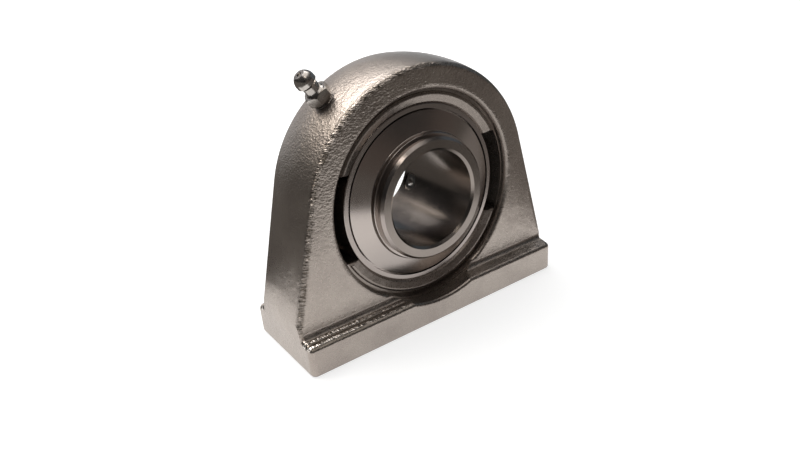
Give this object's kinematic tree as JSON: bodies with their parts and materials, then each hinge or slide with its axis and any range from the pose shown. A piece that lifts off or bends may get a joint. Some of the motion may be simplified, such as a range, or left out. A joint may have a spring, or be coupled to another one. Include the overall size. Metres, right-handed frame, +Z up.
{
  "type": "pillow block bearing",
  "caption": "Tapped-base pillow block: a cast stainless housing whose spherical seat holds a sealed, self-aligning set-screw ball bearing insert, with a grease nipple on the arch.",
  "frame": {"origin": "centre of the base's underside, midway between the two tapped holes", "axes": "+X along the base, +Y along the shaft towards the insert's long end with the set screws, +Z up"},
  "size_m": [0.1022, 0.0404, 0.0878],
  "materials": {
    "cast_steel": "matt as-cast stainless, fine grain, machined under the base and in the seat",
    "ring_steel": "ground stainless, finely turned on the end faces, smooth in the bore",
    "ball_steel": "lapped and polished",
    "sheet_steel": "pressed sheet, satin",
    "seal_rubber": "matt moulded rubber",
    "screw_steel": "machined, slightly dark",
    "nipple_steel": "turned stainless, bright",
    "spring_steel": "drawn wire"
  },
  "bodies": {
    "housing": {"housing": "cast_steel", "grease_nipple": "nipple_steel", "nipple_spring": "spring_steel"},
    "outer_ring": {"outer_ring": "ring_steel", "front_seal_core": "sheet_steel", "front_seal_lip": "seal_rubber", "rear_seal_core": "sheet_steel", "rear_seal_lip": "seal_rubber"},
    "inner_ring": {"inner_ring": "ring_steel", "front_flinger": "sheet_steel", "rear_flinger": "sheet_steel"},
    "cage": {"cage_front_half": "sheet_steel", "cage_rear_half": "sheet_steel", "cage_rivets": "sheet_steel"},
    "ball_1": {"ball_1": "ball_steel"},
    "ball_2": {"ball_2": "ball_steel"},
    "ball_3": {"ball_3": "ball_steel"},
    "ball_4": {"ball_4": "ball_steel"},
    "ball_5": {"ball_5": "ball_steel"},
    "ball_6": {"ball_6": "ball_steel"},
    "ball_7": {"ball_7": "ball_steel"},
    "ball_8": {"ball_8": "ball_steel"},
    "ball_9": {"ball_9": "ball_steel"},
    "set_screw_1": {"set_screw_1": "screw_steel"},
    "set_screw_2": {"set_screw_2": "screw_steel"},
    "check_ball": {"nipple_check_ball": "ball_steel"}
  },
  "joints": [
    {"name": "insert_tilt", "type": "hinge", "parent": "housing", "child": "outer_ring", "pos_m": [0, 0, 0.04286], "axis": [1, 0, 0], "range_deg": [-2, 2]},
    {"name": "inner_spin", "type": "hinge", "parent": "outer_ring", "child": "inner_ring", "pos_m": [0, 0, 0.04286], "axis": [0, 1, 0], "continuous": true},
    {"name": "cage_spin", "type": "hinge", "parent": "outer_ring", "child": "cage", "pos_m": [0, 0, 0.04286], "axis": [0, 1, 0], "continuous": true},
    {"name": "ball_1_spin", "type": "hinge", "parent": "cage", "child": "ball_1", "pos_m": [0, 0, 0.06586], "axis": [0, 1, 0], "continuous": true},
    {"name": "ball_2_spin", "type": "hinge", "parent": "cage", "child": "ball_2", "pos_m": [-0.01478, 0, 0.06048], "axis": [0, 1, 0], "continuous": true},
    {"name": "ball_3_spin", "type": "hinge", "parent": "cage", "child": "ball_3", "pos_m": [-0.02265, 0, 0.04686], "axis": [0, 1, 0], "continuous": true},
    {"name": "ball_4_spin", "type": "hinge", "parent": "cage", "child": "ball_4", "pos_m": [-0.01992, 0, 0.03136], "axis": [0, 1, 0], "continuous": true},
    {"name": "ball_5_spin", "type": "hinge", "parent": "cage", "child": "ball_5", "pos_m": [-0.00787, 0, 0.02125], "axis": [0, 1, 0], "continuous": true},
    {"name": "ball_6_spin", "type": "hinge", "parent": "cage", "child": "ball_6", "pos_m": [0.00787, 0, 0.02125], "axis": [0, 1, 0], "continuous": true},
    {"name": "ball_7_spin", "type": "hinge", "parent": "cage", "child": "ball_7", "pos_m": [0.01992, 0, 0.03136], "axis": [0, 1, 0], "continuous": true},
    {"name": "ball_8_spin", "type": "hinge", "parent": "cage", "child": "ball_8", "pos_m": [0.02265, 0, 0.04686], "axis": [0, 1, 0], "continuous": true},
    {"name": "ball_9_spin", "type": "hinge", "parent": "cage", "child": "ball_9", "pos_m": [0.01478, 0, 0.06048], "axis": [0, 1, 0], "continuous": true},
    {"name": "set_screw_1_travel", "type": "slide", "parent": "inner_ring", "child": "set_screw_1", "axis": [-0.8926, 0, 0.4509], "range_m": [-0.002, 0.0006]},
    {"name": "set_screw_2_travel", "type": "slide", "parent": "inner_ring", "child": "set_screw_2", "axis": [0.0558, 0, -0.9984], "range_m": [-0.002, 0.0006]},
    {"name": "check_ball_lift", "type": "slide", "parent": "housing", "child": "check_ball", "axis": [0.6046, 0, -0.7965], "range_m": [0, 0.0008], "stiffness_N_per_m": 500, "springref_m": -0.001, "deforming": ["nipple_spring"]}
  ],
  "couplings": [
    {"joint": "cage_spin", "follows": "inner_spin", "ratio": 0.39647},
    {"joint": "ball_1_spin", "follows": "inner_spin", "ratio": -2.3112},
    {"joint": "ball_2_spin", "follows": "inner_spin", "ratio": -2.3112},
    {"joint": "ball_3_spin", "follows": "inner_spin", "ratio": -2.3112},
    {"joint": "ball_4_spin", "follows": "inner_spin", "ratio": -2.3112},
    {"joint": "ball_5_spin", "follows": "inner_spin", "ratio": -2.3112},
    {"joint": "ball_6_spin", "follows": "inner_spin", "ratio": -2.3112},
    {"joint": "ball_7_spin", "follows": "inner_spin", "ratio": -2.3112},
    {"joint": "ball_8_spin", "follows": "inner_spin", "ratio": -2.3112},
    {"joint": "ball_9_spin", "follows": "inner_spin", "ratio": -2.3112}
  ]
}
